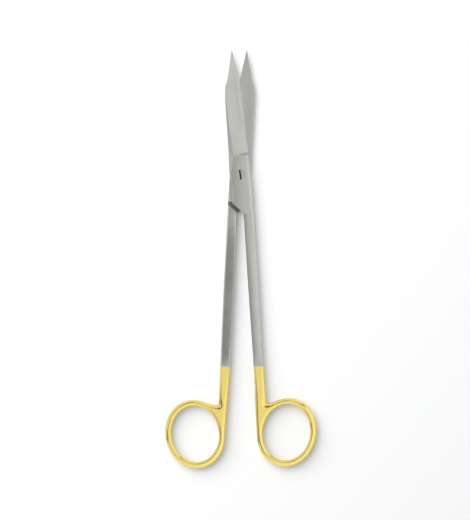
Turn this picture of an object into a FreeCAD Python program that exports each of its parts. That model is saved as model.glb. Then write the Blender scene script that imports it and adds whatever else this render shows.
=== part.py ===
import FreeCAD, Part
import math
import os
import Sketcher

# Straight surgical scissors for cartilage, 19 cm long, lying flat on a table.
# Millimetres. The pivot axis is Z, the tips point along +Y, and z = 0 is the table.
# Each half is drawn closed, in its own frame: the inner face lies on the XY plane, the spine
# of the blade is on the -X side, the cutting edge, the shank and the ring are on the +X side.
# The rear half is the same forging turned over about Y.

SIZES = {
    # box and lap joint
    "box_depth": 4.6,
    "lap_gap": 0.04,
    "box_back": 4.5,
    "box_bulge": 4.85,
    "box_mid_y": 1.8,
    "box_top_y": 8.7,
    "bulge_start_y": -4.4,
    "box_heel_y": -12.6,
    "box_toe_y": -17.55,
    "shoulder_out_y": -13.75,
    "shoulder_in_x": 0.2,
    "shoulder_in_y": -17.5,
    "box_bevel": 0.95,
    "box_bevel_drop": 0.5,
    # blade outline
    "tip_y": 56.3,
    "tip_round": 0.3,
    "spine_x": 4.58,
    "spine_end_y": 34.0,
    "spine_curve_x": 4.36,
    "spine_curve_y": 37.6,
    "knee_out_x": 4.0,
    "knee_out_y": 40.5,
    "knee_in_x": 2.9,
    "knee_in_y": 43.3,
    "edge_knee_x": 2.4,
    "edge_knee_y": 43.5,
    "edge_mid_x": 3.5,
    "edge_mid_y": 26.5,
    "edge_root_x": 4.15,
    # blade section
    "step_length": 0.8,
    "root_thick": 2.0,
    "knee_thick": 1.3,
    "tip_thick": 0.4,
    "root_ridge_x": 2.9,
    "knee_ridge_x": 4.6,
    "tip_ridge_x": 0.4,
    "root_edge_thick": 0.95,
    "knee_edge_thick": 0.45,
    "tip_edge_thick": 0.12,
    "spine_bevel": 1.9,
    "spine_bevel_drop": 0.95,
    "spine_bevel_start_y": 38.0,
    "stop_groove_x": 0.2,
    "stop_groove_width": 0.5,
    "stop_groove_depth": 0.12,
    "hollow_depth": 0.15,
    "hollow_runout": 0.015,
    "hollow_land": 0.75,
    # carbide edge strips
    "insert_root_y": 9.95,
    "insert_width": 1.8,
    "insert_thick": 0.8,
    # shank
    "shank_out_x": 4.88,
    "shank_wide_y": -40.0,
    "shank_out_end_x": 4.5,
    "shank_in_x": 0.4,
    "shank_in_side_x": 0.05,
    "shank_mid_y": -58.0,
    "waist_depth": 4.0,
    # foot of the shank, measured up from the notch above the ring
    "foot_length": 7.2,
    "foot_in_length": 20.5,
    "foot_full_length": 4.2,
    # finger ring
    "ring_gap": 0.07,
    "ring_y": -118.37,
    "ring_long": 15.68,
    "ring_short": 13.43,
    "ring_turn": 15.1,
    "ring_lean": 0.76,
    "ring_drop": 0.28,
    "band_long": 2.84,
    "band_short": 2.6,
    "hole_offset_x": 0.08,
    "hole_offset_y": 0.09,
    "hole_turn": 11.6,
    "web_angle": 34.0,
    "notch_depth": 1.7,
    "notch_round": 0.4,
    "outline_share": 0.5,
    "hole_share": 0.42,
    # pivot screw
    "screw_shank": 3.0,
    "screw_head": 4.4,
    "head_depth": 1.1,
    "head_chamfer": 0.1,
    "slot_width": 0.75,
    "slot_depth": 0.7,
    "slot_turn": 8.0,
    "running_fit": 0.03,
    "thread_fit": 0.02,
    "overrun": 1.0,
    # rest pose
    "open_half": 3.48,
}

SAME_POINT = 1e-4
SMALLEST_CUT = 0.05
FULL_TURN = 360
HALF_TURN = 180
RIGHT_ANGLE = 90

doc = FreeCAD.newDocument("scissors")
sheet = doc.addObject("Spreadsheet::Sheet", "sizes")
for row, (name, value) in enumerate(SIZES.items(), start=1):
    sheet.set("A%d" % row, str(value))
    sheet.setAlias("A%d" % row, name)
doc.recompute()


class Term:
    """A size with its value and the expression that binds it to the sheet."""

    def __init__(self, value, text, bound=True):
        self.value = float(value)
        self.text = text
        self.bound = bound

    @staticmethod
    def of(other):
        return other if isinstance(other, Term) else Term(other, repr(float(other)))

    def join(self, other, value, sign):
        return Term(value, "(%s %s %s)" % (self.text, sign, other.text))

    def __add__(self, other):
        other = Term.of(other)
        return self.join(other, self.value + other.value, "+")

    def __sub__(self, other):
        other = Term.of(other)
        return self.join(other, self.value - other.value, "-")

    def __mul__(self, other):
        other = Term.of(other)
        return self.join(other, self.value * other.value, "*")

    def __truediv__(self, other):
        other = Term.of(other)
        return self.join(other, self.value / other.value, "/")

    def __neg__(self):
        return Term(-self.value, "(0 - %s)" % self.text)


class Sizes:
    """Gives each cell of the sheet as a Term, by its alias."""

    def __getattr__(self, name):
        return Term(sheet.get(name), "sizes.%s" % name)


s = Sizes()


def sine(turn):
    return Term(math.sin(math.radians(turn.value)), "sin(%s * 1deg)" % turn.text)


def cosine(turn):
    return Term(math.cos(math.radians(turn.value)), "cos(%s * 1deg)" % turn.text)


def root(term):
    return Term(math.sqrt(term.value), "sqrt(%s)" % term.text)


def free(term):
    """A coordinate that the rest of the sketch settles, given only as a start for the solver."""
    return Term(term.value, term.text, bound=False)


def vector(point):
    """The point of two Terms as a vector in its sketch's plane."""
    return FreeCAD.Vector(point[0].value, point[1].value, 0)


def bind(sketch, constraint, term):
    """Adds a constraint whose size follows the sheet."""
    index = sketch.addConstraint(constraint)
    sketch.setExpression("Constraints[%d]" % index, term.text)


def pin(sketch, geometry, end, point):
    """Holds a point of a sketch at those of its coordinates that aren't free."""
    for kind, term in zip(("DistanceX", "DistanceY"), point):
        if term.bound:
            bind(sketch, Sketcher.Constraint(kind, -1, 1, geometry, end, term.value), term)


class Line:
    """A straight stretch of an outline."""

    def __init__(self, end):
        self.end = end

    def draw(self, sketch, start):
        return sketch.addGeometry(Part.LineSegment(vector(start), vector(self.end)), False)


class Through:
    """An arc through a middle point."""

    def __init__(self, middle, end):
        self.middle = middle
        self.end = end

    def draw(self, sketch, start):
        shape = Part.Arc(vector(start), vector(self.middle), vector(self.end))
        index = sketch.addGeometry(shape, False)
        point = sketch.addGeometry(Part.Point(vector(self.middle)), True)
        pin(sketch, point, 1, self.middle)
        sketch.addConstraint(Sketcher.Constraint("PointOnObject", point, 1, index))
        return index


class Level:
    """An arc whose centre has a given height in the sketch, so it is upright there."""

    def __init__(self, height, end):
        self.height = height
        self.end = end

    def draw(self, sketch, start):
        a, b, y = vector(start), vector(self.end), self.height.value
        x = (a.x ** 2 + (a.y - y) ** 2 - b.x ** 2 - (b.y - y) ** 2) / (2 * (a.x - b.x))
        centre = (free(Term.of(x)), self.height)
        return draw_arc(sketch, a, b, centre)


class Plumb:
    """An arc whose centre has a given place across the sketch, so it is level there."""

    def __init__(self, across, end):
        self.across = across
        self.end = end

    def draw(self, sketch, start):
        a, b, x = vector(start), vector(self.end), self.across.value
        y = (a.y ** 2 + (a.x - x) ** 2 - b.y ** 2 - (b.x - x) ** 2) / (2 * (a.y - b.y))
        centre = (self.across, free(Term.of(y)))
        return draw_arc(sketch, a, b, centre)


def draw_arc(sketch, a, b, centre):
    """Draws the shorter arc from a to b about a centre that has one free coordinate."""
    hub = vector(centre)
    spoke = (a + b) / 2 - hub
    middle = hub + spoke * ((a - hub).Length / spoke.Length)
    index = sketch.addGeometry(Part.Arc(a, middle, b), False)
    pin(sketch, index, 3, centre)
    return index


class Oval:
    """A clockwise stretch of an ellipse whose long axis is turned from +Y towards +X."""

    def __init__(self, centre, long, short, turn, end):
        self.curve = (centre, long, short, turn)
        self.end = end

    def draw(self, sketch, start):
        shape = ellipse_curve(*self.curve)
        low, high = shape.parameter(vector(self.end)), shape.parameter(vector(start))
        index = sketch.addGeometry(Part.ArcOfEllipse(shape, low, high), False)
        bind_ellipse(sketch, index, *self.curve)
        return index


def outline(sketch, stretches):
    """Draws a closed outline of stretches, each from the end of the one before."""
    start = stretches[-1].end
    joints = []
    for stretch in stretches:
        index = stretch.draw(sketch, start)
        forward = sketch.getPoint(index, 2).distanceToPoint(vector(stretch.end)) < SAME_POINT
        begin, finish = (1, 2) if forward else (2, 1)
        pin(sketch, index, finish, stretch.end)
        joints.append(((index, begin), (index, finish)))
        start = stretch.end
    for number, (begin, _) in enumerate(joints):
        sketch.addConstraint(Sketcher.Constraint("Coincident", *joints[number - 1][1], *begin))


def polygon(sketch, points):
    """Draws a closed outline of straight lines."""
    outline(sketch, [Line(point) for point in points])


def circle(sketch, radius):
    """Draws a circle about the pivot axis."""
    index = sketch.addGeometry(Part.Circle(FreeCAD.Vector(), FreeCAD.Vector(0, 0, 1), radius.value), False)
    sketch.addConstraint(Sketcher.Constraint("Coincident", index, 3, -1, 1))
    bind(sketch, Sketcher.Constraint("Radius", index, radius.value), radius)


def ellipse_curve(centre, long, short, turn):
    """An ellipse as plain geometry."""
    angle = math.radians(RIGHT_ANGLE - turn.value)
    along = FreeCAD.Vector(math.cos(angle), math.sin(angle), 0)
    across = FreeCAD.Vector(-along.y, along.x, 0)
    middle = vector(centre)
    return Part.Ellipse(middle + along * long.value, middle + across * short.value, middle)


def bind_ellipse(sketch, index, centre, long, short, turn):
    """Binds the centre, the two axes and the turn of an ellipse or of a stretch of one."""
    major = sketch.GeometryCount
    sketch.exposeInternalGeometry(index)
    pin(sketch, index, 3, centre)
    angle = Term.of(RIGHT_ANGLE) - turn
    bind(sketch, Sketcher.Constraint("Distance", major, 2 * long.value), long * 2)
    bind(sketch, Sketcher.Constraint("Distance", major + 1, 2 * short.value), short * 2)
    bind(sketch, Sketcher.Constraint("Angle", major, math.radians(angle.value)), angle)


def ellipse(sketch, *curve):
    """Draws a whole ellipse."""
    index = sketch.addGeometry(ellipse_curve(*curve), False)
    bind_ellipse(sketch, index, *curve)


def check(feature):
    """Stops the build where a feature has failed."""
    doc.recompute()
    failed = "Invalid" in feature.State or "Error" in feature.State
    if failed or feature.Shape.isNull() or not feature.Shape.isValid():
        raise RuntimeError("%s failed: %s" % (feature.Name, feature.getStatusString()))


def plane(body, role):
    """An origin plane of a body."""
    return next(item for item in body.Origin.OriginFeatures if item.Role == role)


def sketch_on(body, role, name, offset=None):
    """A sketch on an origin plane of its own body, moved along the plane's normal."""
    sketch = body.newObject("Sketcher::SketchObject", name)
    sketch.AttachmentSupport = [(plane(body, role), "")]
    sketch.MapMode = "FlatFace"
    if offset is not None:
        sketch.AttachmentOffset = FreeCAD.Placement(FreeCAD.Vector(0, 0, offset.value), FreeCAD.Rotation())
        sketch.setExpression(".AttachmentOffset.Base.z", offset.text)
    return sketch


def pad(body, sketch, name, length, side="both"):
    """Adds material on both sides of a sketch, or to its front alone."""
    feature = body.newObject("PartDesign::Pad", name)
    feature.Profile = sketch
    feature.SideType = "Symmetric" if side == "both" else "One side"
    feature.setExpression("Length", length.text)
    check(feature)
    return feature


def check_cut(body, name, before):
    """Says how much a cut took from a body, and stops the build where it took nothing."""
    gone = before - body.Shape.Volume
    print("%s %s removes %.3f mm3" % (body.Label, name, gone))
    if gone < SMALLEST_CUT:
        raise RuntimeError("%s removes nothing" % name)


def cut(body, sketch, name, side, depth=None):
    """Removes material on one side of a sketch, or through all."""
    doc.recompute()
    before = body.Shape.Volume
    feature = body.newObject("PartDesign::Pocket", name)
    feature.Profile = sketch
    if depth is None:
        feature.Type = "ThroughAll"
    else:
        feature.setExpression("Length", depth.text)
    feature.SideType = "Symmetric" if side == "both" else "One side"
    feature.Reversed = side == "front"
    check(sketch)
    check(feature)
    check_cut(body, name, before)
    return feature


def loft_cut(body, name, role, sections, draw):
    """Removes a straight-sided loft between sections at given distances along a plane's normal."""
    doc.recompute()
    before = body.Shape.Volume
    sketches = []
    for number, (offset, shape) in enumerate(sections):
        sketch = sketch_on(body, role, "%s_section_%d" % (name, number), offset)
        draw(sketch, shape)
        sketches.append(sketch)
    feature = body.newObject("PartDesign::SubtractiveLoft", name)
    feature.Profile = sketches[0]
    feature.Sections = sketches[1:]
    feature.Ruled = True
    for sketch in sketches:
        check(sketch)
    check(feature)
    check_cut(body, name, before)
    return feature


class Ring:
    """The finger ring of one half, 1 for front and -1 for rear: each sits a little askew."""

    def __init__(self, side):
        wide = (s.ring_long * sine(s.ring_turn), s.ring_short * cosine(s.ring_turn))
        high = (s.ring_long * cosine(s.ring_turn), s.ring_short * sine(s.ring_turn))
        reach = root(wide[0] * wide[0] + wide[1] * wide[1])
        rise = root(high[0] * high[0] + high[1] * high[1])
        slant = (wide[0] * high[0] - wide[1] * high[1]) / reach
        self.x = s.ring_gap + reach - s.ring_lean * side
        self.y = s.ring_y + s.ring_drop * side
        self.side = (self.x - reach, self.y - slant)
        self.notch_y = self.y + rise - s.notch_depth
        self.outside = ((self.x, self.y), s.ring_long, s.ring_short, s.ring_turn)
        middle = (self.x - s.hole_offset_x, self.y + s.hole_offset_y)
        self.hole = (middle, s.ring_long - s.band_long, s.ring_short - s.band_short, s.hole_turn)

    def point(self, angle):
        """A point of the outline by its angle from the long axis, and its slope there."""
        along, across = s.ring_long * cosine(angle), s.ring_short * sine(angle)
        ahead, aside = s.ring_long * sine(angle), s.ring_short * cosine(angle)
        x = self.x + along * sine(s.ring_turn) - across * cosine(s.ring_turn)
        y = self.y + along * cosine(s.ring_turn) + across * sine(s.ring_turn)
        run_x = ahead * sine(s.ring_turn) + aside * cosine(s.ring_turn)
        run_y = ahead * cosine(s.ring_turn) - aside * sine(s.ring_turn)
        return (x, y), run_x, run_y

    def on_hole(self, point):
        """Says whether an edge belongs to the finger hole, at half the band or less from it."""
        middle, long, short, turn = self.hole
        offset, angle = point - vector(middle), math.radians(turn.value)
        along = offset.x * math.sin(angle) + offset.y * math.cos(angle)
        across = offset.x * math.cos(angle) - offset.y * math.sin(angle)
        reach_long, reach_short = ((size + s.band_short / 2).value for size in (long, short))
        return math.hypot(along * reach_short, across * reach_long) < reach_long * reach_short

    def on_outline(self, point):
        """Says whether an edge belongs to the outside of the box front, the shank or the ring."""
        below_toe = point.y < s.box_toe_y.value
        box_front = point.x > s.edge_root_x.value and point.y < s.box_top_y.value
        return (below_toe or box_front) and not self.on_hole(point)


def blade_base_y():
    """Where the blade's outline takes over from that of the box, past the step."""
    return s.box_top_y + s.step_length + s.overrun


def handle_outline(ring):
    """Box, shank and ring seen from above, clockwise from the front corner of the box."""
    base_y = blade_base_y()
    foot_y = ring.notch_y + s.foot_length
    out_x = (s.shank_out_x + s.shank_out_end_x) / 2
    out_y = (s.shank_wide_y + foot_y) / 2
    side_x, side_y = ring.side
    foot_in_y = ring.notch_y + s.foot_in_length
    in_x = (side_x + s.shank_in_side_x) / 2
    in_y = (side_y + foot_in_y) / 2
    web_end, run_x, run_y = ring.point(s.web_angle)
    run = root(run_x * run_x + run_y * run_y)
    half_slope = run_y / (run + run_x)
    web_start_x = web_end[0] - (web_end[1] - ring.notch_y) / half_slope
    return [
        Line((s.edge_root_x, base_y)),
        Level(s.box_heel_y, (s.shank_out_x, s.box_heel_y)),
        Line((s.shank_out_x, s.shank_wide_y)),
        Level(s.shank_wide_y, (out_x, out_y)),
        Level(foot_y, (s.shank_out_end_x, foot_y)),
        Line((s.shank_out_end_x, ring.notch_y + s.notch_round)),
        Level(ring.notch_y + s.notch_round, (s.shank_out_end_x + s.notch_round, ring.notch_y)),
        Line((web_start_x, ring.notch_y)),
        Plumb(web_start_x, (web_end[0], free(web_end[1]))),
        Oval(*ring.outside, (free(side_x), side_y)),
        Level(side_y, (in_x, in_y)),
        Level(foot_in_y, (s.shank_in_side_x, foot_in_y)),
        Line((s.shank_in_side_x, s.shank_mid_y)),
        Level(s.shank_mid_y, (s.shank_in_x, s.box_toe_y)),
        Line((-s.box_back, s.box_heel_y)),
        Line((-s.box_back, s.bulge_start_y)),
        Through((-s.box_bulge, s.box_mid_y), (-s.spine_x, base_y)),
    ]


def blade_outline():
    """The blade seen from above, clockwise from its root on the spine side."""
    tip_side = s.tip_y - s.tip_round
    base_y = blade_base_y()
    return [
        Line((-s.spine_x, base_y)),
        Line((-s.spine_x, s.spine_end_y)),
        Through((-s.spine_curve_x, s.spine_curve_y), (-s.knee_out_x, s.knee_out_y)),
        Line((-s.knee_in_x, s.knee_in_y)),
        Line((-s.tip_round, tip_side)),
        Through((Term.of(0), s.tip_y), (s.tip_round, tip_side)),
        Line((s.edge_knee_x, s.edge_knee_y)),
        Through((s.edge_mid_x, s.edge_mid_y), (s.edge_root_x, base_y)),
    ]


def blade_top(y):
    """Height of the blade's outer face above the lap plane at a station between root and knee."""
    root_y = s.box_top_y + s.step_length
    return s.root_thick - (s.root_thick - s.knee_thick) * (y - root_y) / (s.knee_out_y - root_y)


def facet(inner, outer):
    """A section that cuts a facet from an inner to an outer point, reaching past both."""
    slope = (inner[1] - outer[1]) / (outer[0] - inner[0])
    near = (inner[0] - s.overrun, inner[1] + slope * s.overrun)
    far = (outer[0] + s.overrun, outer[1] - slope * s.overrun)
    return [near, far, (far[0], s.box_depth), (near[0], s.box_depth)]


def forging(name, side):
    """One half as forged and ground: blade, half of the box, shank and finger ring."""
    body = doc.addObject("PartDesign::Body", name)
    half_box = s.box_depth / 2
    ring = Ring(side)

    plan = sketch_on(body, "XY_Plane", "handle_plan")
    outline(plan, handle_outline(ring))
    pad(body, plan, "handle", s.box_depth)

    hole = sketch_on(body, "XY_Plane", "finger_hole_plan")
    ellipse(hole, *ring.hole)
    cut(body, hole, "finger_hole", "both")

    round_edges(body, "outline_rounding", s.band_short * s.outline_share, ring.on_outline)
    round_edges(body, "hole_rounding", s.band_short * s.hole_share, ring.on_hole)

    plan = sketch_on(body, "XY_Plane", "blade_plan")
    outline(plan, blade_outline())
    pad(body, plan, "blade", s.box_depth)

    waist = sketch_on(body, "YZ_Plane", "waist_side")
    waist_top = s.waist_depth / 2
    top = half_box + s.overrun
    waist_end_y = ring.notch_y + s.foot_full_length
    for sign in (1, -1):
        outline(waist, [
            Through((s.shank_mid_y, waist_top * sign), (s.box_toe_y, half_box * sign)),
            Line((s.box_toe_y, top * sign)),
            Line((waist_end_y, top * sign)),
            Line((waist_end_y, half_box * sign)),
        ])
    cut(body, waist, "waist", "both")

    lap = sketch_on(body, "XY_Plane", "lap_plan", s.lap_gap / 2)
    polygon(lap, [
        (s.shoulder_in_x, s.shoulder_in_y),
        (s.shank_out_x * 2 - s.shoulder_in_x, s.shoulder_out_y * 2 - s.shoulder_in_y),
        (s.shank_out_x * 2, s.tip_y + s.overrun),
        (-s.shank_out_x * 2, s.tip_y + s.overrun),
        (-s.shank_out_x * 2, s.shoulder_in_y),
    ])
    cut(body, lap, "lap", "back")

    grind_blade(body)
    return body


def round_edges(body, name, radius, wanted):
    """Rounds those edges of the flat faces whose middle point is wanted."""
    doc.recompute()
    before = body.Tip
    names = []
    for number, edge in enumerate(before.Shape.Edges, start=1):
        middle = edge.valueAt((edge.FirstParameter + edge.LastParameter) / 2)
        on_face = abs(abs(middle.z) - s.box_depth.value / 2) < SAME_POINT
        if on_face and wanted(middle):
            names.append("Edge%d" % number)
    feature = body.newObject("PartDesign::Fillet", name)
    feature.Base = (before, names)
    feature.setExpression("Radius", radius.text)
    check(feature)
    print("%s %s rounds %d edges" % (body.Label, name, len(names)))


def grind_blade(body):
    """Grinds the outer face, the bevels, the stop groove and the hollow of the inner face."""
    half_box = s.box_depth / 2
    root_y = s.box_top_y + s.step_length
    clear = half_box + s.overrun

    relief = sketch_on(body, "YZ_Plane", "relief_side")
    polygon(relief, [
        (s.box_top_y - s.step_length, half_box * 2 - s.root_thick),
        (root_y, s.root_thick),
        (s.knee_out_y, s.knee_thick),
        (s.tip_y, s.tip_thick),
        (s.tip_y + s.overrun, s.tip_thick),
        (s.tip_y + s.overrun, clear),
        (s.box_top_y - s.step_length, clear),
    ])
    cut(body, relief, "relief", "both")

    stations = [
        (
            s.box_top_y - s.step_length,
            (-s.root_ridge_x, s.box_depth - s.root_thick),
            (s.edge_root_x, s.box_depth - s.root_edge_thick),
        ),
        (root_y, (-s.root_ridge_x, s.root_thick), (s.edge_root_x, s.root_edge_thick)),
        (s.knee_out_y, (-s.knee_ridge_x, s.knee_thick), (s.edge_knee_x, s.knee_edge_thick)),
        (s.tip_y + s.overrun, (-s.tip_ridge_x, s.tip_thick), (s.tip_round, s.tip_edge_thick)),
    ]
    loft_cut(body, "edge_bevel", "XZ_Plane", [
        (-y, facet(inner, outer)) for y, inner, outer in stations
    ], polygon)

    stations = [
        (s.spine_bevel_start_y, (-s.spine_x, blade_top(s.spine_bevel_start_y)), s.box_bevel, s.box_bevel_drop),
        (root_y, (s.spine_bevel - s.spine_x, s.root_thick), s.spine_bevel, s.spine_bevel_drop),
        (s.box_mid_y, (s.box_bevel - s.box_bulge, half_box), s.box_bevel, s.box_bevel_drop),
        (s.bulge_start_y, (s.box_bevel - s.box_back, half_box), s.box_bevel, s.box_bevel_drop),
        (s.shoulder_out_y, (s.box_bevel - s.box_back, half_box), s.box_bevel, s.box_bevel_drop),
    ]
    loft_cut(body, "spine_bevel", "XZ_Plane", [
        (-y, facet((inner[0] * -1, inner[1]), (inner[0] * -1 + width, inner[1] - drop)))
        for y, inner, width, drop in stations
    ], mirrored_polygon)

    groove_half = s.stop_groove_width / 2
    groove_y = root_y + groove_half
    fall = (s.root_thick - s.root_edge_thick) / (s.edge_root_x + s.root_ridge_x)
    grooves = []
    for x in (s.stop_groove_x, s.edge_root_x + s.overrun):
        face = s.root_thick - fall * (x + s.root_ridge_x)
        grooves.append((x, [
            (groove_y - s.stop_groove_width, face + s.stop_groove_depth),
            (groove_y, face - s.stop_groove_depth),
            (groove_y + s.stop_groove_width, face + s.stop_groove_depth),
        ]))
    loft_cut(body, "stop_groove", "YZ_Plane", grooves, polygon)

    floor = s.lap_gap / 2
    runout = floor + s.hollow_runout
    hollows = [
        (s.insert_root_y + s.overrun, s.hollow_land - s.spine_x, s.edge_root_x - s.hollow_land, runout),
        (s.edge_mid_y, s.hollow_land - s.spine_x, s.edge_mid_x - s.hollow_land, floor + s.hollow_depth),
        (s.knee_in_y, s.hollow_land - s.knee_in_x, s.edge_knee_x - s.hollow_land, runout),
    ]
    loft_cut(body, "hollow", "XZ_Plane", [
        (-y, [Through(((left + right) / 2, height), (right, Term.of(0))), Line((left, Term.of(0)))])
        for y, left, right, height in hollows
    ], outline)


def mirrored_polygon(sketch, points):
    """Draws a polygon turned over to the spine side."""
    polygon(sketch, [(-x, z) for x, z in points])


def bore(body, name, radius):
    """Drills a hole on the pivot axis through a half."""
    sketch = sketch_on(body, "XY_Plane", name + "_circle")
    circle(sketch, radius)
    cut(body, sketch, name, "both")


def seat_tool(name):
    """The strip along the cutting edge that the carbide fills."""
    body = doc.addObject("PartDesign::Body", name)
    sketch = sketch_on(body, "XY_Plane", name + "_plan", s.lap_gap / 2 - s.overrun)
    beyond = s.edge_root_x + s.overrun
    outline(sketch, [
        Line((s.edge_root_x - s.insert_width, s.insert_root_y)),
        Through((s.edge_mid_x - s.insert_width, s.edge_mid_y), (s.edge_knee_x - s.insert_width, s.edge_knee_y)),
        Line((Term.of(0), s.tip_y + s.overrun)),
        Line((beyond, s.tip_y + s.overrun)),
        Line((beyond, s.insert_root_y)),
    ])
    pad(body, sketch, name + "_pad", s.insert_thick + s.overrun, "front")
    return body


def half(side, body, placement):
    """Parts a forging into the steel half and the carbide strip that is brazed into it."""
    seat = seat_tool(side + "_seat")
    pieces = []
    for kind, label in (("Part::Cut", side + "_half"), ("Part::Common", side + "_edge_insert")):
        piece = doc.addObject(kind, label)
        piece.Base = body
        piece.Tool = seat
        place(piece, placement)
        pieces.append(piece)
    return pieces


def pivot_screw(placement):
    """The slotted pivot screw: head flush in the front half, end flush with the rear half."""
    body = doc.addObject("PartDesign::Body", "pivot_screw")
    shank, head, top = s.screw_shank / 2, s.screw_head / 2, s.box_depth / 2
    profile = sketch_on(body, "XZ_Plane", "screw_profile")
    polygon(profile, [
        (Term.of(0), -top),
        (shank, -top),
        (shank, top - s.head_depth),
        (head, top - s.head_depth),
        (head, top - s.head_chamfer),
        (head - s.head_chamfer, top),
        (Term.of(0), top),
    ])
    turned = body.newObject("PartDesign::Revolution", "screw_turned")
    turned.Profile = profile
    turned.ReferenceAxis = (profile, ["V_Axis"])
    turned.Angle = FULL_TURN
    check(turned)

    slot = sketch_on(body, "XY_Plane", "slot_plan", top)
    across, along = s.slot_width / 2, s.screw_head
    polygon(slot, [(-across, -along), (across, -along), (across, along), (-across, along)])
    cut(body, slot, "slot", "back", s.slot_depth)
    place(body, placement)
    return body


def place(piece, placement):
    """Sets a piece in its rest pose, at half the depth of the box above the table."""
    piece.Placement = placement
    piece.setExpression("Placement.Base.z", (s.box_depth / 2).text)


turned_over = FreeCAD.Rotation(FreeCAD.Vector(0, 1, 0), HALF_TURN)
upright = FreeCAD.Vector(0, 0, 1)
middle_height = FreeCAD.Vector(0, 0, s.box_depth.value / 2)


def opened(turn):
    """The rest pose of a piece that lies on the table, turned about the pivot axis."""
    return FreeCAD.Rotation(upright, turn)


front_forging = forging("front_forging", 1)
bore(front_forging, "clearance_bore", s.screw_shank / 2 + s.running_fit)
head_floor = s.box_depth / 2 - s.head_depth - s.running_fit
head_seat = sketch_on(front_forging, "XY_Plane", "head_seat_circle", head_floor)
circle(head_seat, s.screw_head / 2 + s.running_fit)
cut(front_forging, head_seat, "head_seat", "front", s.head_depth + s.overrun)

rear_forging = forging("rear_forging", -1)
bore(rear_forging, "thread_bore", s.screw_shank / 2 + s.thread_fit)

front_place = FreeCAD.Placement(middle_height, opened(s.open_half.value))
rear_place = FreeCAD.Placement(middle_height, opened(-s.open_half.value) * turned_over)
pieces = half("front", front_forging, front_place) + half("rear", rear_forging, rear_place)
pieces.append(pivot_screw(FreeCAD.Placement(middle_height, opened(s.slot_turn.value))))
doc.recompute()

for item in doc.Objects:
    if "Invalid" in item.State or "Error" in item.State:
        raise RuntimeError("%s failed: %s" % (item.Name, item.State))

os.makedirs("parts", exist_ok=True)
for piece in pieces:
    shape = piece.Shape
    if shape.isNull() or not shape.isValid() or len(shape.Solids) != 1:
        raise RuntimeError("%s isn't one sound solid" % piece.Label)
    shape.exportStep("parts/%s.step" % piece.Label)
    box = shape.optimalBoundingBox(False, False)
    print("%s %.1f mm3, x %.2f to %.2f, y %.2f to %.2f, z %.2f to %.2f" % (
        piece.Label, shape.Volume, box.XMin, box.XMax, box.YMin, box.YMax, box.ZMin, box.ZMax))
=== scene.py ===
"""Looks of a pair of straight cartilage scissors that lie flat and a little open, seen from above.

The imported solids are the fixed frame: millimetre sizes below are turned to metres, the pivot
axis is Z, the tips point along +Y and z = 0 is the surface that the scissors rest on. Each half
is ground in its own closed frame, in which its blade and its shank run along Y. Its side is 1 for
the front half, whose ring lies towards +X, and -1 for the rear half, which is the same forging
turned over, so that its ring lies towards -X.
"""

import math

import bmesh
import bpy
from mathutils import Matrix, Vector
from mathutils.kdtree import KDTree


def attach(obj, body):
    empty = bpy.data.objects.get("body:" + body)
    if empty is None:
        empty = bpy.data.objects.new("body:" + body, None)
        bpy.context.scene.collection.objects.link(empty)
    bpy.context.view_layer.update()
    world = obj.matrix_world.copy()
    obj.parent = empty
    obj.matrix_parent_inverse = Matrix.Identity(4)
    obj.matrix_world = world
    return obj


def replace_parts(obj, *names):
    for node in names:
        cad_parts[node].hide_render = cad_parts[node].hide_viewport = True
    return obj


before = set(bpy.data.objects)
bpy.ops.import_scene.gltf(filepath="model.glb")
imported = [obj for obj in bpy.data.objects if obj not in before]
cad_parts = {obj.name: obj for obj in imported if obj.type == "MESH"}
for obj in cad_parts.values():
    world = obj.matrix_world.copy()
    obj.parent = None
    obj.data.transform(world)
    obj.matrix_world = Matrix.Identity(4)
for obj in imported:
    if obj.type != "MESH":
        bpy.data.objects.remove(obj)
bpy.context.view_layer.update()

bl_info = {
    "name": "Cartilage scissors",
    "version": (1, 0, 0),
    "blender": (4, 5, 0),
    "location": "View3D > Sidebar > Scissors",
    "description": "Dresses straight surgical scissors in satin steel, gold plating and carbide",
    "category": "Object",
}

MM = 0.001
UP = Vector((0, 0, 1))
ACROSS = Vector((1, 0, 0))
ALONG = Vector((0, 1, 0))

# Sizes that the solids have, in mm
HALF_OPENING = math.radians(3.48)
BOX_DEPTH = 4.6
BOX_HALF_WIDTH = 4.7
LAP_GAP = 0.04
OUTLINE_ROUND = 1.3

# Distance in metres at which two points are one
TOUCHING = 1e-7

# Cuts that make the faces fine enough to grind: the number of fields in half the box's width, and
# the places of the cuts across the lower shank and across the rest, in mm
FIELDS_ACROSS = 5
LOWER_CUTS = range(-104, -78, 2)
UPPER_CUTS = range(-76, 52, 4)

# Milled faces in the toe of the box joint, which get a painted shade: where they start and end
# along Y, in mm, and what counts as a level face, an upright face and a face that looks along Y
RECESS_START = -12.3
RECESS_END = -19
LEVEL = 0.9
UPRIGHT = 0.1
FACES_ALONG = 0.5

# Crown of the box: its drop at the edge as a share of half the depth, how far out it grows as a
# share of the half width, and where it fades in along Y, in mm
BOX_CROWN = 0.10
BOX_CROWN_REACH = 1.2
BOX_FADE_IN = (-22, -15)

# Shank: its middle and its widest place in mm across, and by side its crown in mm of drop for a
# square mm off the middle and its lean in mm of drop for a mm across, and where they fade
SHANK_MIDDLE = 2.2
SHANK_WIDTH = 5
SHANK_CROWN = {1: 0.05, -1: 0.02}
SHANK_LEAN = {1: 0.0, -1: 0.15}
SHANK_FADE_IN = (-88, -80)
SHANK_FADE_OUT = (-34, -15)

# Hollow of the blade's outer face in mm, how far a face has to lie from the lap to be an outer
# one, and where the hollow fades
BLADE_HOLLOW = 0.12
HOLLOW_MIDDLE = -0.6
HOLLOW_HALF_WIDTH = 3.2
BLADE_FADE_IN = (14, 22)
BLADE_FADE_OUT = (36, 48)
OUTER_FACE_HEIGHT = 0.3

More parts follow.
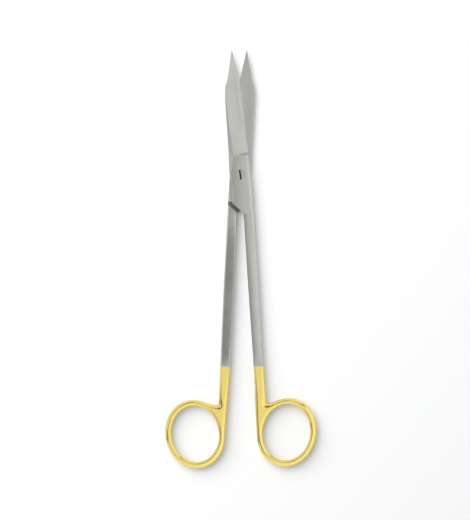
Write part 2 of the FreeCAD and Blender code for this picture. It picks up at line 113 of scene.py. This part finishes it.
# Hollow of the blade's inner face: the share of its depth that is left, where it lies along Y and
# more than its depth in the solids, in mm
INNER_HOLLOW_SHARE = 0.5
INNER_HOLLOW_START = 8
INNER_HOLLOW_END = 43
INNER_HOLLOW_LIMIT = 0.16

# Crest of the foot and the ring, in mm: its distance from the band's border, the slopes beside
# it, its rounding, and the dip of the distance at the notch, where foot and ring meet
CREST = 1.4
OUTER_FALL = math.tan(math.radians(19))
INNER_FALL = math.tan(math.radians(4))
CREST_ROUND = 0.2
VALLEY = (2.8, -106.2)
VALLEY_DIP = 0.8
VALLEY_SPREAD = 2.5
CREST_END = -92
FOOT_FADE_OUT = (-106.5, -99.5)
OUTER_FADE_IN = (1.5, 4)
RING_FADE_IN = (5, 12)

# Fine grid on the flats that carry the crest, and the points that stand for the band's border
CELL = 0.4
CELLS_ACROSS = range(0, 28)
CELLS_ALONG = range(-292, -252)
FLATS_END = -98
FLATS_TOLERANCE = 0.01
BORDER_END = -90
BORDER_TOLERANCE = 0.005
BORDER_STEP = 0.1

# Faces of the screw's slot, which get a painted shade: above this height, under the head's rim by
# this much, and nearer to the axis than the head's edge, in mm
SLOT_LOWEST = 3.6
SLOT_BELOW_RIM = 0.05
SLOT_REACH = 2.1

# Breaks of the edges in mm, drawn by the shader only, and the depth of the grain in mm
EDGE_BREAK = 0.15
EDGE_SAMPLES = 4
GRAIN_DEPTH = 0.02

# Patches of handling wear: their number in a metre, so about 8 mm each, and the range of the
# noise over which the roughness swings
WEAR_SCALE = 120.0
WEAR_RANGE = (0.3, 0.7)

# Satin ground stainless steel: the belt leaves fine lines along the part, so the eye sees broad
# soft bands of grey and no clear reflection. Real lines are about 0.03 mm apart. They are drawn
# 0.25 mm apart, because finer ones don't show in the picture.
SATIN_GROUND = {
    "roughness": 0.34, "swing": 0.04, "grain_mm": 0.25, "grain_along": 10, "bump": 0.35}

# Gold plated on polished steel: the finish is bright, so the eye sees clear lemon fields with
# olive lines where a crest turns away from the light. The last polishing lines are about 0.02 mm
# wide. They are drawn 0.5 mm wide, as faint clouds of a deeper gold.
GOLD_PLATED = {
    "roughness": 0.14, "swing": 0.02, "grain_mm": 0.5, "grain_along": 4, "bump": 0.04}

# Milled steel that nobody polished, in the joint: its dark grey colour paints the shade that falls
# into the narrow joint, and the cutter marks make it rough. Real marks are about 0.1 mm apart. They
# are drawn 0.3 mm apart to show.
MILLED = {
    "roughness": 0.6, "swing": 0.05, "grain_mm": 0.3, "grain_along": 3, "bump": 0.4}

# Ground tungsten carbide: harder than the steel and ground finer, so the eye sees an even,
# slightly darker grey. Real marks are about 0.01 mm wide. They are drawn 0.15 mm wide to show.
CARBIDE_GROUND = {
    "roughness": 0.32, "swing": 0.02, "grain_mm": 0.15, "grain_along": 6, "bump": 0.2}

# Turned stainless steel of the screw's head: a little duller than the satin steel round it, so
# the eye finds the head by a fine ring. Real marks are about 0.05 mm apart, drawn 0.2 mm apart.
TURNED = {
    "roughness": 0.38, "swing": 0.03, "grain_mm": 0.2, "grain_along": 8, "bump": 0.3}

# Sawn steel in the screw's slot: its near black colour paints the shade in the narrow slot, so the
# eye sees a dark line. Real saw marks are about 0.05 mm apart, drawn 0.2 mm apart.
SAWN = {
    "roughness": 0.6, "swing": 0.05, "grain_mm": 0.2, "grain_along": 2, "bump": 0.3}


# ---------------------------------------------------------------- sizes and colours

class ScissorSizes(bpy.types.PropertyGroup):
    """Sizes that a user would change"""

    plating_line: bpy.props.FloatProperty(
        name="Plating line", description="Distance of the plating's edge below the pivot, in mm",
        default=87.3, min=60, max=100)
    crease_angle: bpy.props.FloatProperty(
        name="Crease angle", description="Edges sharper than this stay crisp",
        default=math.radians(24), subtype="ANGLE")
    picture_height: bpy.props.FloatProperty(
        name="Picture height", description="Height of the field of view at the scissors, in mm",
        default=236.6, min=50)
    camera_height: bpy.props.FloatProperty(
        name="Camera height", description="Height of the camera over the table, in mm",
        default=1500, min=300)


class ScissorColours(bpy.types.PropertyGroup):
    """Colours that a user would change, as sRGB hex values"""

    steel: bpy.props.StringProperty(
        name="Steel", description="Satin stainless steel", default="#C9C9C5")
    steel_dark: bpy.props.StringProperty(
        name="Steel grain", description="Darker lines of the satin grain", default="#B6B6B1")
    gold: bpy.props.StringProperty(
        name="Gold", description="Gold plating", default="#F3DF86")
    gold_deep: bpy.props.StringProperty(
        name="Deep gold", description="Warmer tone of the plating", default="#EBD273")
    carbide: bpy.props.StringProperty(
        name="Carbide", description="Ground tungsten carbide", default="#BFBFBC")
    # Recess: a dark grey that paints the shade inside the joint's narrow gap
    recess: bpy.props.StringProperty(
        name="Recess", description="Painted shade on the milled faces inside the joint",
        default="#84857E")
    # Screw slot: a near black that paints the shade inside the slot
    slot: bpy.props.StringProperty(
        name="Screw slot", description="Painted shade on the sawn walls and floor of the screw slot",
        default="#3C3C38")
    table: bpy.props.StringProperty(
        name="Table", description="White table top", default="#F4F4F4")


def sizes():
    return bpy.context.scene.scissor_sizes


def colours():
    return bpy.context.scene.scissor_colours


def linear(hex_colour):
    """An sRGB hex value as linear RGBA."""
    channels = [int(hex_colour[i:i + 2], 16) / 255 for i in (1, 3, 5)]
    return (*(c / 12.92 if c <= 0.04045 else ((c + 0.055) / 1.055) ** 2.4 for c in channels), 1.0)


# ---------------------------------------------------------------- node trees

def add(tree, kind, settings=None, **inputs):
    """Adds a node; settings are its own values, inputs are numbers or the sockets to link.

    An input is called by its name, or by an i and its number.
    """
    node = tree.nodes.new(kind)
    for key, value in (settings or {}).items():
        setattr(node, key, value)
    for key, value in inputs.items():
        by_number = key[0] == "i" and key[1:].isdigit()
        socket = node.inputs[int(key[1:]) if by_number else key.replace("_", " ")]
        if isinstance(value, bpy.types.NodeSocket):
            tree.links.new(value, socket)
        else:
            socket.default_value = value
    return node


def new_material(name):
    material = bpy.data.materials.new(name)
    material.use_nodes = True
    material.node_tree.nodes.clear()
    return material, material.node_tree


def ground_metal(name, base, dark, turn=0.0, *, roughness, swing, grain_mm, grain_along, bump):
    """A metal with a fine directional grain on Object coordinates."""
    material, tree = new_material(name)
    place = add(tree, "ShaderNodeTexCoord").outputs["Object"]
    turned = add(tree, "ShaderNodeMapping", Vector=place, Rotation=(0, 0, turn)).outputs[0]
    fine = 1 / (grain_mm * MM)
    stretched = add(
        tree, "ShaderNodeMapping", Vector=turned, Scale=(fine, fine / grain_along, fine)).outputs[0]
    lines = add(
        tree, "ShaderNodeTexNoise", Vector=stretched,
        Scale=1.0, Detail=3.0, Roughness=0.6).outputs[0]
    wear = add(
        tree, "ShaderNodeTexNoise", Vector=turned,
        Scale=WEAR_SCALE, Detail=2.0, Roughness=0.5).outputs[0]
    colour = add(
        tree, "ShaderNodeMix", {"data_type": "RGBA"},
        i0=lines, i6=linear(dark), i7=linear(base)).outputs[2]
    rough = add(
        tree, "ShaderNodeMapRange", Value=wear, i1=WEAR_RANGE[0], i2=WEAR_RANGE[1],
        i3=roughness - swing, i4=roughness + swing).outputs[0]
    edges = add(
        tree, "ShaderNodeBevel", {"samples": EDGE_SAMPLES}, Radius=EDGE_BREAK * MM).outputs[0]
    relief = add(
        tree, "ShaderNodeBump", Height=lines, Strength=bump, Distance=GRAIN_DEPTH * MM,
        Normal=edges).outputs[0]
    shader = add(
        tree, "ShaderNodeBsdfPrincipled", Base_Color=colour, Metallic=1.0, Roughness=rough,
        Normal=relief)
    add(tree, "ShaderNodeOutputMaterial", Surface=shader.outputs[0])
    return material


# ---------------------------------------------------------------- meshes

def own_frame(side):
    """Turns a place on the table into the half's own closed frame."""
    return Matrix.Rotation(-side * HALF_OPENING, 3, UP)


def on_table(side):
    """Turns a place in the half's own closed frame onto the table."""
    return Matrix.Rotation(side * HALF_OPENING, 3, UP)


def smooth_step(value, band):
    """How far a length has come through a band in mm, from 0 to 1, with soft ends."""
    low, high = (end * MM for end in band)
    share = min(max((value - low) / (high - low), 0), 1)
    return share * share * (3 - 2 * share)


def softened(value):
    """The value where it is positive, nothing where it is negative, with a soft turn between."""
    return (value + math.hypot(value, CREST_ROUND)) / 2


def merged_copy(node):
    """A bmesh of a CAD node with its doubles merged."""
    shape = bmesh.new()
    shape.from_mesh(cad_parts[node].data)
    bmesh.ops.remove_doubles(shape, verts=shape.verts, dist=TOUCHING)
    return shape


def cut(shape, normal, place, pieces=None):
    """Cuts a shape by a plane that lies at a place in mm along its normal."""
    if pieces is None:
        pieces = shape.verts[:] + shape.edges[:] + shape.faces[:]
    return bmesh.ops.bisect_plane(
        shape, geom=pieces, dist=TOUCHING, plane_co=normal * (place * MM), plane_no=normal)["geom"]


def split_at_plating(shape, side):
    """Cuts the faces along the plating's edge and gives those below it the second material."""
    along = on_table(side) @ ALONG
    line = -sizes().plating_line
    cut(shape, along, line)
    for face in shape.faces:
        below = (face.calc_center_median() - along * (line * MM)).dot(along) < 0
        face.material_index = int(below)


def mark_recess_shade(shape, side):
    """Gives the milled faces at the toe of the box joint the third material, a dark grey of painted
    shade.
    """
    back = own_frame(side)
    middle = BOX_DEPTH * MM / 2
    cut(shape, back.inverted() @ ALONG, RECESS_START)
    for face in shape.faces:
        place = back @ face.calc_center_median()
        if place.y >= RECESS_START * MM:
            continue
        tilt = abs(face.normal.z)
        inner = abs(place.z - middle) < LAP_GAP * MM and tilt > LEVEL
        across_lap = side * (place.z - middle) < -LAP_GAP * MM and place.y > RECESS_END * MM
        shoulder = tilt < UPRIGHT and across_lap and abs((back @ face.normal).y) > FACES_ALONG
        if inner or shoulder:
            face.material_index = 2


def cut_for_grinding(shape, side):
    """Cuts the faces into fields that are small enough to crown, lean and hollow."""
    for number in range(-FIELDS_ACROSS, FIELDS_ACROSS + 1):
        cut(shape, on_table(side) @ ACROSS, BOX_HALF_WIDTH * number / FIELDS_ACROSS)
    for place in (*LOWER_CUTS, *UPPER_CUTS):
        cut(shape, on_table(side) @ ALONG, place)


def cut_ring_flats(shape, side):
    """Cuts the flats of the foot and the ring into a fine grid for the crest."""
    back = own_frame(side)
    middle = BOX_DEPTH * MM / 2
    flats = [
        face for face in shape.faces
        if abs(face.calc_center_median().z - middle) > middle - FLATS_TOLERANCE * MM
        and (back @ face.calc_center_median()).y < FLATS_END * MM]
    edges = dict.fromkeys(edge for face in flats for edge in face.edges)
    verts = dict.fromkeys(vert for face in flats for vert in face.verts)
    pieces = [*verts, *edges, *flats]
    for axis, cells in ((ACROSS * side, CELLS_ACROSS), (ALONG, CELLS_ALONG)):
        normal = back.inverted() @ axis
        for number in cells:
            pieces = cut(shape, normal, number * CELL, pieces)


def band_border(shape, side):
    """Points along the outline of the foot and the ring, in the half's own frame, for searches."""
    back = own_frame(side)
    middle = BOX_DEPTH * MM / 2
    wall_top = middle - OUTLINE_ROUND * MM
    points = []
    for edge in shape.edges:
        a, b = (back @ vert.co for vert in edge.verts)
        on_wall_top = all(
            abs(abs(end.z - middle) - wall_top) < BORDER_TOLERANCE * MM for end in (a, b))
        if a.y < BORDER_END * MM and on_wall_top:
            count = max(1, math.ceil((b - a).length / (BORDER_STEP * MM)))
            points += [a.lerp(b, number / count) for number in range(count + 1)]
    border = KDTree(len(points))
    for number, point in enumerate(points):
        border.insert((point.x, point.y, 0), number)
    border.balance()
    return border


def crested(shape, side):
    """Gives the foot of the shank and the ring the crest that polishing leaves along the band."""
    cut_ring_flats(shape, side)
    border = band_border(shape, side)
    back = own_frame(side)
    middle = BOX_DEPTH * MM / 2
    for vert in shape.verts:
        place = back @ vert.co
        if place.y > CREST_END * MM:
            continue
        across = side * place.x
        apart = math.dist((across / MM, place.y / MM), VALLEY)
        dip = VALLEY_DIP * math.exp(-(apart / VALLEY_SPREAD) ** 2 / 2)
        inward = border.find((place.x, place.y, 0))[2] / MM - CREST - dip
        outer_drop = OUTER_FALL * softened(-inward) * smooth_step(across, OUTER_FADE_IN)
        inner_drop = INNER_FALL * softened(inward) * smooth_step(across, RING_FADE_IN)
        foot = 1 - smooth_step(place.y, FOOT_FADE_OUT)
        drop = (outer_drop + inner_drop) * foot / (BOX_DEPTH / 2)
        vert.co.z = middle + (vert.co.z - middle) * (1 - drop)


def crowned(shape, side):
    """Crowns the box and the shank, leans the shank and hollows the blade's outer face."""
    back = own_frame(side)
    width = BOX_HALF_WIDTH * MM
    middle = BOX_DEPTH * MM / 2
    for vert in shape.verts:
        place = back @ vert.co
        across = side * place.x
        on_box = smooth_step(place.y, BOX_FADE_IN)
        on_shank = smooth_step(place.y, SHANK_FADE_IN) - smooth_step(place.y, SHANK_FADE_OUT)
        on_blade = smooth_step(place.y, BLADE_FADE_IN) - smooth_step(place.y, BLADE_FADE_OUT)
        crown = BOX_CROWN * min(abs(across) / width, BOX_CROWN_REACH) ** 2 * on_box
        reach = min(max(across / MM, 0), SHANK_WIDTH)
        drop = SHANK_LEAN[side] * reach + SHANK_CROWN[side] * (reach - SHANK_MIDDLE) ** 2
        aside = (across / MM - HOLLOW_MIDDLE) / HOLLOW_HALF_WIDTH
        hollow = BLADE_HOLLOW * max(0, 1 - aside ** 2)
        outside = side * (vert.co.z - middle) > OUTER_FACE_HEIGHT * MM
        share_left = 1 - crown - on_shank * drop / (BOX_DEPTH / 2)
        vert.co.z = middle + (vert.co.z - middle) * share_left
        vert.co.z -= side * on_blade * hollow * MM * outside


def ease_inner_hollow(shape, side):
    """Makes the hollow of a blade's inner face shallower, so that it looks one even grey."""
    back = own_frame(side)
    middle = BOX_DEPTH * MM / 2
    for vert in shape.verts:
        depth = side * (vert.co.z - middle) / MM - LAP_GAP / 2
        on_blade = INNER_HOLLOW_START * MM < (back @ vert.co).y < INNER_HOLLOW_END * MM
        if on_blade and 0 < depth < INNER_HOLLOW_LIMIT:
            vert.co.z -= side * depth * (1 - INNER_HOLLOW_SHARE) * MM


def finished_mesh(shape, name):
    """Turns a bmesh into a mesh that is smooth but for its creases."""
    angle = sizes().crease_angle
    for face in shape.faces:
        face.smooth = True
    for edge in shape.edges:
        edge.smooth = len(edge.link_faces) == 2 and edge.calc_face_angle(0) < angle
    mesh = bpy.data.meshes.new(name)
    shape.to_mesh(mesh)
    shape.free()
    return mesh


def link(mesh, body):
    """Puts a mesh into the scene as a piece that rides a body."""
    piece = bpy.data.objects.new(mesh.name, mesh)
    bpy.context.scene.collection.objects.link(piece)
    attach(piece, body)
    return piece


def half_piece(side, body, node, name):
    """One half: the forging's copy, plated, milled and ground, in its three finishes, the milled
    one darkened with painted shade.
    """
    shape = merged_copy(node)
    split_at_plating(shape, side)
    mark_recess_shade(shape, side)
    cut_for_grinding(shape, side)
    crested(shape, side)
    crowned(shape, side)
    ease_inner_hollow(shape, side)
    mesh = finished_mesh(shape, name)
    tone = colours()
    turn = -side * HALF_OPENING
    mesh.materials.append(ground_metal(
        name + "_satin_ground_stainless_steel", tone.steel, tone.steel_dark, turn,
        **SATIN_GROUND))
    mesh.materials.append(ground_metal(
        name + "_gold_plating_on_polished_steel", tone.gold, tone.gold_deep, turn,
        **GOLD_PLATED))
    # The third finish darkens the milled faces of the joint with painted shade
    mesh.materials.append(ground_metal(
        name + "_milled_steel_painted_shade", tone.recess, tone.recess, turn, **MILLED))
    piece = link(mesh, body)
    flats = piece.modifiers.new("flats_stay_flat", "WEIGHTED_NORMAL")
    flats.weight = 50
    flats.keep_sharp = True
    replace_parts(piece, node)


class SCISSORS_OT_front_half(bpy.types.Operator):
    """Front half: the forging on top, its ring plated in gold"""

    bl_idname = "scissors.front_half"
    bl_label = "Front half"

    def execute(self, context):
        half_piece(1, "front", "front_half", "front_forging")
        return {"FINISHED"}


class SCISSORS_OT_rear_half(bpy.types.Operator):
    """Rear half: the forging below, its ring plated in gold"""

    bl_idname = "scissors.rear_half"
    bl_label = "Rear half"

    def execute(self, context):
        half_piece(-1, "rear", "rear_half", "rear_forging")
        return {"FINISHED"}


class SCISSORS_OT_edge_strips(bpy.types.Operator):
    """Carbide strips brazed along the cutting edges"""

    bl_idname = "scissors.edge_strips"
    bl_label = "Carbide strips"

    def execute(self, context):
        carbide = colours().carbide
        for side, body in ((1, "front"), (-1, "rear")):
            node = body + "_edge_insert"
            shape = merged_copy(node)
            ease_inner_hollow(shape, side)
            mesh = finished_mesh(shape, body + "_carbide_strip")
            mesh.materials.append(ground_metal(
                body + "_ground_tungsten_carbide", carbide, carbide, -side * HALF_OPENING,
                **CARBIDE_GROUND))
            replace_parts(link(mesh, body), node)
        return {"FINISHED"}


class SCISSORS_OT_pivot_screw(bpy.types.Operator):
    """Slotted pivot screw, flush in the box"""

    bl_idname = "scissors.pivot_screw"
    bl_label = "Pivot screw"

    def execute(self, context):
        mesh = finished_mesh(merged_copy("pivot_screw"), "slotted_screw")
        tone = colours()
        mesh.materials.append(ground_metal(
            "turned_stainless_steel", tone.steel, tone.steel_dark, **TURNED))
        # The slot's second material is a near black of painted shade
        mesh.materials.append(ground_metal("sawn_steel_painted_shade", tone.slot, tone.slot, **SAWN))
        for face in mesh.polygons:
            x, y, height = face.center
            below_rim = SLOT_LOWEST * MM < height < (BOX_DEPTH - SLOT_BELOW_RIM) * MM
            face.material_index = int(below_rim and math.hypot(x, y) < SLOT_REACH * MM)
        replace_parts(link(mesh, "rear"), "pivot_screw")
        return {"FINISHED"}


# ---------------------------------------------------------------- stage

# Camera: the point that it looks down on, its turn, its sensor and how far it sees, in metres
VIEW_CENTRE = Vector((-2.71, -38.66, 0)) * MM
VIEW_TURN = math.radians(-0.45)
LONG_SIDE_SENSOR = 36.0
VIEW_END = 10

# Table top: half its side in metres, and the glow that lifts it to the white of a picture that is
# exposed for its background
TABLE_HALF_SIDE = 1.5
TABLE_GLOW = 0.21
TABLE_GLOW_TONE = "#FBFEFF"

# Soft box that casts the shadows, in metres and watts
LAMP_PLACE = (-0.54, 0.42, 0.78)
LAMP_AIM = (0, -0.03, 0)
LAMP_POWER = 13.8
LAMP_SIDE = 1.2

# Light tent that the metal mirrors. Its roof goes through these greys from the dim side to the
# bright side, with a dark band beside the middle, as a lens and its shade leave. Its walls are
# more even, and take over where a ray's height falls through the roof's edge.
WHITE = (1, 1, 1, 1)
BRIGHT_SIDE = (0.94, -0.34, 0)
ROOF_GREYS = (
    (0.0, 1.0), (0.2, 0.95), (0.28, 0.80), (0.32, 0.19), (0.4, 0.12), (0.425, 0.55),
    (0.445, 0.86), (0.48, 0.95), (0.53, 1.0), (0.6, 1.12), (0.68, 1.25), (1.0, 1.2))
ROOF_EDGE = (0.70, 0.89)
WALL_GREYS = (0.88, 1.18)

# Warm dark seam of the tent, which draws the thin lines along the crests
SEAM_SIDE = (-0.5, 0.866, 0)
SEAM = 0.28
SEAM_HALF_WIDTH = 0.11
SEAM_TONE = "#6F5530"

# Strength of the light that the tent gives to whatever doesn't mirror it, and the count of
# scattered bounces below which a ray still counts as mirrored
TENT_FILL = (0.27, 0.27, 0.27, 1)
NOT_SCATTERED = 0.5


def camera_above():
    """A camera straight above, far enough to see the scissors nearly without perspective."""
    camera = bpy.data.cameras.new("camera")
    camera.sensor_width = LONG_SIDE_SENSOR
    camera.lens = LONG_SIDE_SENSOR * sizes().camera_height / sizes().picture_height
    camera.clip_end = VIEW_END
    holder = bpy.data.objects.new("camera", camera)
    holder.location = VIEW_CENTRE + UP * (sizes().camera_height * MM)
    holder.rotation_euler = (0, 0, VIEW_TURN)
    bpy.context.scene.collection.objects.link(holder)
    return holder


def white_table():
    """White laminate: matt, so the eye sees soft shadows and no reflection on it."""
    shape = bmesh.new()
    bmesh.ops.create_grid(shape, x_segments=1, y_segments=1, size=TABLE_HALF_SIDE)
    mesh = bpy.data.meshes.new("table_top")
    shape.to_mesh(mesh)
    shape.free()
    table = bpy.data.objects.new("table_top", mesh)
    bpy.context.scene.collection.objects.link(table)
    material, tree = new_material("white_laminate_table")
    rays = add(tree, "ShaderNodeLightPath").outputs
    seen = add(
        tree, "ShaderNodeMath", {"operation": "MAXIMUM"},
        i0=rays["Is Camera Ray"], i1=rays["Is Glossy Ray"]).outputs[0]
    seen = add(
        tree, "ShaderNodeMath", {"operation": "MAXIMUM"},
        i0=seen, i1=rays["Is Transmission Ray"]).outputs[0]
    lift = add(
        tree, "ShaderNodeMath", {"operation": "MULTIPLY"}, i0=seen, i1=TABLE_GLOW).outputs[0]
    matt = add(tree, "ShaderNodeBsdfDiffuse", Color=linear(colours().table)).outputs[0]
    glow = add(tree, "ShaderNodeEmission", Color=linear(TABLE_GLOW_TONE), Strength=lift).outputs[0]
    both = add(tree, "ShaderNodeAddShader", i0=matt, i1=glow).outputs[0]
    add(tree, "ShaderNodeOutputMaterial", Surface=both)
    mesh.materials.append(material)


def light_tent():
    """A world that the metal mirrors as a tent, that fills the shadows and that looks white."""
    world = bpy.data.worlds.new("light_tent")
    world.use_nodes = True
    tree = world.node_tree
    tree.nodes.clear()
    way = add(tree, "ShaderNodeTexCoord").outputs["Generated"]
    side = add(
        tree, "ShaderNodeVectorMath", {"operation": "DOT_PRODUCT"},
        i0=way, i1=BRIGHT_SIDE).outputs["Value"]

    share = add(tree, "ShaderNodeMapRange", Value=side, i1=-1.0, i2=1.0).outputs[0]
    roof = add(tree, "ShaderNodeValToRGB", i0=share)
    ramp = roof.color_ramp.elements
    for element, (place, grey) in zip(ramp, (ROOF_GREYS[0], ROOF_GREYS[-1])):
        element.position, element.color = place, (grey, grey, grey, 1)
    for place, grey in ROOF_GREYS[1:-1]:
        ramp.new(place).color = (grey, grey, grey, 1)
    walls = add(
        tree, "ShaderNodeMapRange", Value=side,
        i1=-1.0, i2=1.0, i3=WALL_GREYS[0], i4=WALL_GREYS[1]).outputs[0]
    height = add(tree, "ShaderNodeSeparateXYZ", Vector=way).outputs["Z"]
    on_roof = add(
        tree, "ShaderNodeMapRange", {"interpolation_type": "SMOOTHSTEP"}, Value=height,
        i1=ROOF_EDGE[0], i2=ROOF_EDGE[1], i3=0.0, i4=1.0).outputs[0]
    cloth = add(
        tree, "ShaderNodeMix", {"data_type": "FLOAT"},
        i0=on_roof, i2=walls, i3=roof.outputs[0]).outputs[0]

    across = add(
        tree, "ShaderNodeVectorMath", {"operation": "DOT_PRODUCT"},
        i0=way, i1=SEAM_SIDE).outputs["Value"]
    beside = add(tree, "ShaderNodeMath", {"operation": "SUBTRACT"}, i0=across, i1=SEAM).outputs[0]
    beside = add(tree, "ShaderNodeMath", {"operation": "ABSOLUTE"}, i0=beside).outputs[0]
    clear = add(
        tree, "ShaderNodeMapRange", {"interpolation_type": "SMOOTHSTEP"}, Value=beside,
        i1=0.0, i2=SEAM_HALF_WIDTH).outputs[0]
    seam = add(
        tree, "ShaderNodeMix", {"data_type": "RGBA"},
        i0=clear, i6=linear(SEAM_TONE), i7=WHITE).outputs[2]
    tent = add(
        tree, "ShaderNodeVectorMath", {"operation": "MULTIPLY"}, i0=cloth, i1=seam).outputs[0]

    rays = add(tree, "ShaderNodeLightPath").outputs
    direct = add(
        tree, "ShaderNodeMath", {"operation": "LESS_THAN"},
        i0=rays["Diffuse Depth"], i1=NOT_SCATTERED).outputs[0]
    mirrored = add(
        tree, "ShaderNodeMath", {"operation": "MULTIPLY"},
        i0=rays["Is Glossy Ray"], i1=direct).outputs[0]
    soft = add(
        tree, "ShaderNodeMix", {"data_type": "RGBA"},
        i0=mirrored, i6=TENT_FILL, i7=tent).outputs[2]
    seen = add(
        tree, "ShaderNodeMix", {"data_type": "RGBA"},
        i0=rays["Is Camera Ray"], i6=soft, i7=WHITE).outputs[2]
    glow = add(tree, "ShaderNodeBackground", Color=seen, Strength=1.0).outputs[0]
    add(tree, "ShaderNodeOutputWorld", Surface=glow)
    return world


def soft_box():
    """A square lamp at the upper left that the metal doesn't mirror."""
    light = bpy.data.lights.new("soft_box_upper_left", "AREA")
    light.energy = LAMP_POWER
    light.shape = "SQUARE"
    light.size = LAMP_SIDE
    holder = bpy.data.objects.new("soft_box_upper_left", light)
    way = Vector(LAMP_AIM) - Vector(LAMP_PLACE)
    holder.location = LAMP_PLACE
    holder.rotation_euler = way.to_track_quat("-Z", "Y").to_euler()
    holder.visible_glossy = False
    bpy.context.scene.collection.objects.link(holder)


class SCISSORS_OT_stage(bpy.types.Operator):
    """White table, soft light from the upper left and a camera straight above"""

    bl_idname = "scissors.stage"
    bl_label = "Stage"

    def execute(self, context):
        context.scene.view_settings.view_transform = "Standard"
        context.scene.camera = camera_above()
        white_table()
        context.scene.world = light_tent()
        soft_box()
        return {"FINISHED"}


# ---------------------------------------------------------------- panel

class SCISSORS_PT_panel(bpy.types.Panel):
    """Sizes, colours and the making of each piece"""

    bl_idname = "SCISSORS_PT_panel"
    bl_label = "Cartilage scissors"
    bl_space_type = "VIEW_3D"
    bl_region_type = "UI"
    bl_category = "Scissors"

    def draw(self, context):
        layout = self.layout
        for group in (context.scene.scissor_sizes, context.scene.scissor_colours):
            column = layout.column()
            for name in group.__annotations__:
                column.prop(group, name)
        for operator in OPERATORS:
            layout.operator(operator.bl_idname)


GROUPS = {"scissor_sizes": ScissorSizes, "scissor_colours": ScissorColours}
OPERATORS = (
    SCISSORS_OT_front_half,
    SCISSORS_OT_rear_half,
    SCISSORS_OT_edge_strips,
    SCISSORS_OT_pivot_screw,
    SCISSORS_OT_stage,
)


def register():
    for cls in (*GROUPS.values(), *OPERATORS, SCISSORS_PT_panel):
        bpy.utils.register_class(cls)
    for name, group in GROUPS.items():
        setattr(bpy.types.Scene, name, bpy.props.PointerProperty(type=group))


def unregister():
    for name in GROUPS:
        delattr(bpy.types.Scene, name)
    for cls in (SCISSORS_PT_panel, *reversed(OPERATORS), *GROUPS.values()):
        bpy.utils.unregister_class(cls)


def main():
    register()
    bpy.ops.scissors.stage()
    bpy.ops.scissors.front_half()
    bpy.ops.scissors.rear_half()
    bpy.ops.scissors.edge_strips()
    bpy.ops.scissors.pivot_screw()


if __name__ == "__main__":
    main()
